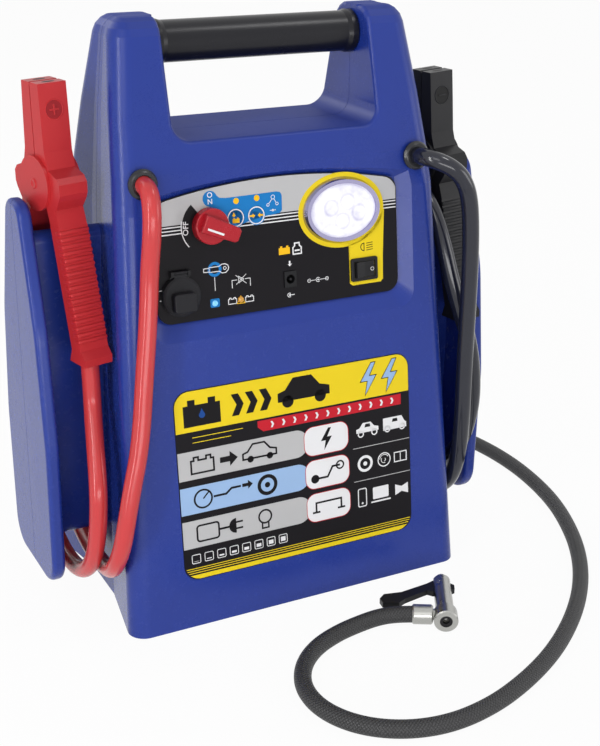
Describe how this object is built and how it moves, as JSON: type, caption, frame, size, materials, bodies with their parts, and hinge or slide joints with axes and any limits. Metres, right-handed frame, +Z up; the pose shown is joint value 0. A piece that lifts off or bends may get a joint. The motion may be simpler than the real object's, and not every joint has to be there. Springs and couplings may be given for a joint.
{
  "type": "jump starter pack",
  "caption": "Portable jump starter with a carrying handle, side reels for clamped jump leads, a work light, a 12 V outlet and a tyre hose.",
  "frame": {"origin": "middle of the casing's footprint, on the surface it stands on", "axes": "+Z up, -Y out of the control panel, +X to the panel's right"},
  "size_m": [0.4317, 0.4349, 0.401],
  "materials": {
    "casing_blue": "moulded, fine texture",
    "grip_black": "soft matt",
    "tube_steel": "plain",
    "panel_print": "printed film",
    "label_print": "printed film",
    "knob_red": "moulded",
    "black_plastic": "moulded",
    "lamp_clear": "fluted",
    "lamp_mirror": "bright",
    "led_red": "tinted",
    "led_green": "tinted",
    "board_green": "plain",
    "rubber_black": "matt",
    "lead_red": "satin",
    "lead_black": "satin",
    "clamp_red": "moulded",
    "clamp_black": "moulded",
    "copper": "bright",
    "steel": "zinc plated",
    "battery_grey": "plain",
    "motor_metal": "plain",
    "pump_aluminium": "cast",
    "dial_white": "printed",
    "hose_braid": "braided",
    "chuck_metal": "plated"
  },
  "bodies": {
    "casing": {"front_shell": "casing_blue", "rear_shell": "casing_blue", "handle_tube": "tube_steel", "handle_grip": "grip_black", "control_panel": "panel_print", "front_label": "label_print", "power_switch": "black_plastic", "socket_12v": "black_plastic", "socket_contact": "steel", "lamp_bezel": "black_plastic", "lamp_lens": "lamp_clear", "lamp_reflector": "lamp_mirror", "lamp_bulb": "lamp_clear", "light_switch_body": "black_plastic", "charge_jack": "black_plastic", "charged_led": "led_green", "charging_led": "led_red", "circuit_board": "board_green", "red_grommet": "rubber_black", "black_grommet": "rubber_black", "red_lead": "lead_red", "black_lead": "lead_black", "red_front_arm": "clamp_red", "red_front_jaw": "copper", "red_pin": "steel", "red_spring": "steel", "black_spring": "steel", "battery": "battery_grey", "battery_terminals": "copper", "compressor_motor": "motor_metal", "compressor_pump": "pump_aluminium", "gauge_case": "black_plastic", "gauge_dial": "dial_white", "gauge_glass": "lamp_clear", "compressor_switch_body": "black_plastic", "hose_gland": "rubber_black", "air_hose": "hose_braid", "hose_ferrule": "chuck_metal", "chuck_body": "chuck_metal", "chuck_seal": "rubber_black", "chuck_pin": "steel", "case_screws": "steel", "black_rear_arm": "clamp_black", "black_rear_jaw": "copper"},
    "knob": {"power_knob": "knob_red"},
    "cap": {"socket_cap": "rubber_black"},
    "light_paddle": {"light_rocker": "black_plastic"},
    "compressor_paddle": {"compressor_rocker": "black_plastic"},
    "needle": {"gauge_needle": "black_plastic"},
    "red_clamp_arm": {"red_rear_arm": "clamp_red", "red_rear_jaw": "copper"},
    "black_clamp_arm": {"black_front_arm": "clamp_black", "black_front_jaw": "copper", "black_pin": "steel"},
    "chuck_handle": {"chuck_lever": "black_plastic"}
  },
  "joints": [
    {"name": "power_knob_turn", "type": "hinge", "parent": "casing", "child": "knob", "pos_m": [-0.0555, -0.05337, 0.2731], "axis": [0, -0.9931, 0.1172], "range_deg": [-66, 24]},
    {"name": "socket_cap_hinge", "type": "hinge", "parent": "casing", "child": "cap", "pos_m": [-0.0784, -0.05664, 0.2454], "axis": [-1, 0, 0], "range_deg": [0, 110]},
    {"name": "light_switch_rock", "type": "hinge", "parent": "casing", "child": "light_paddle", "pos_m": [0.0579, -0.05446, 0.22973], "axis": [0, -0.1172, -0.9931], "range_deg": [0, 20]},
    {"name": "compressor_switch_rock", "type": "hinge", "parent": "casing", "child": "compressor_paddle", "pos_m": [0.045, 0.0539, 0.26008], "axis": [0, 0.1172, -0.9931], "range_deg": [0, 20]},
    {"name": "gauge_needle_turn", "type": "hinge", "parent": "casing", "child": "needle", "pos_m": [-0.05, 0.05239, 0.25587], "axis": [0, -0.9931, -0.1172], "range_deg": [0, 270], "stiffness_Nm_per_rad": 0.0002},
    {"name": "red_clamp_open", "type": "hinge", "parent": "casing", "child": "red_clamp_arm", "pos_m": [-0.1435, -0.0016, 0.3005], "axis": [-0.978, -0.2079, -0.0175], "range_deg": [0, 7], "stiffness_Nm_per_rad": 1.5, "springref_deg": -20.05},
    {"name": "black_clamp_open", "type": "hinge", "parent": "casing", "child": "black_clamp_arm", "pos_m": [0.1415, -0.0045, 0.2895], "axis": [0.9916, 0.1218, 0.0436], "range_deg": [0, 7], "stiffness_Nm_per_rad": 1.5, "springref_deg": -20.05},
    {"name": "chuck_lever_turn", "type": "hinge", "parent": "casing", "child": "chuck_handle", "pos_m": [0.08506, -0.12826, 0.0084], "axis": [0, 0, -1], "range_deg": [0, 60]}
  ]
}
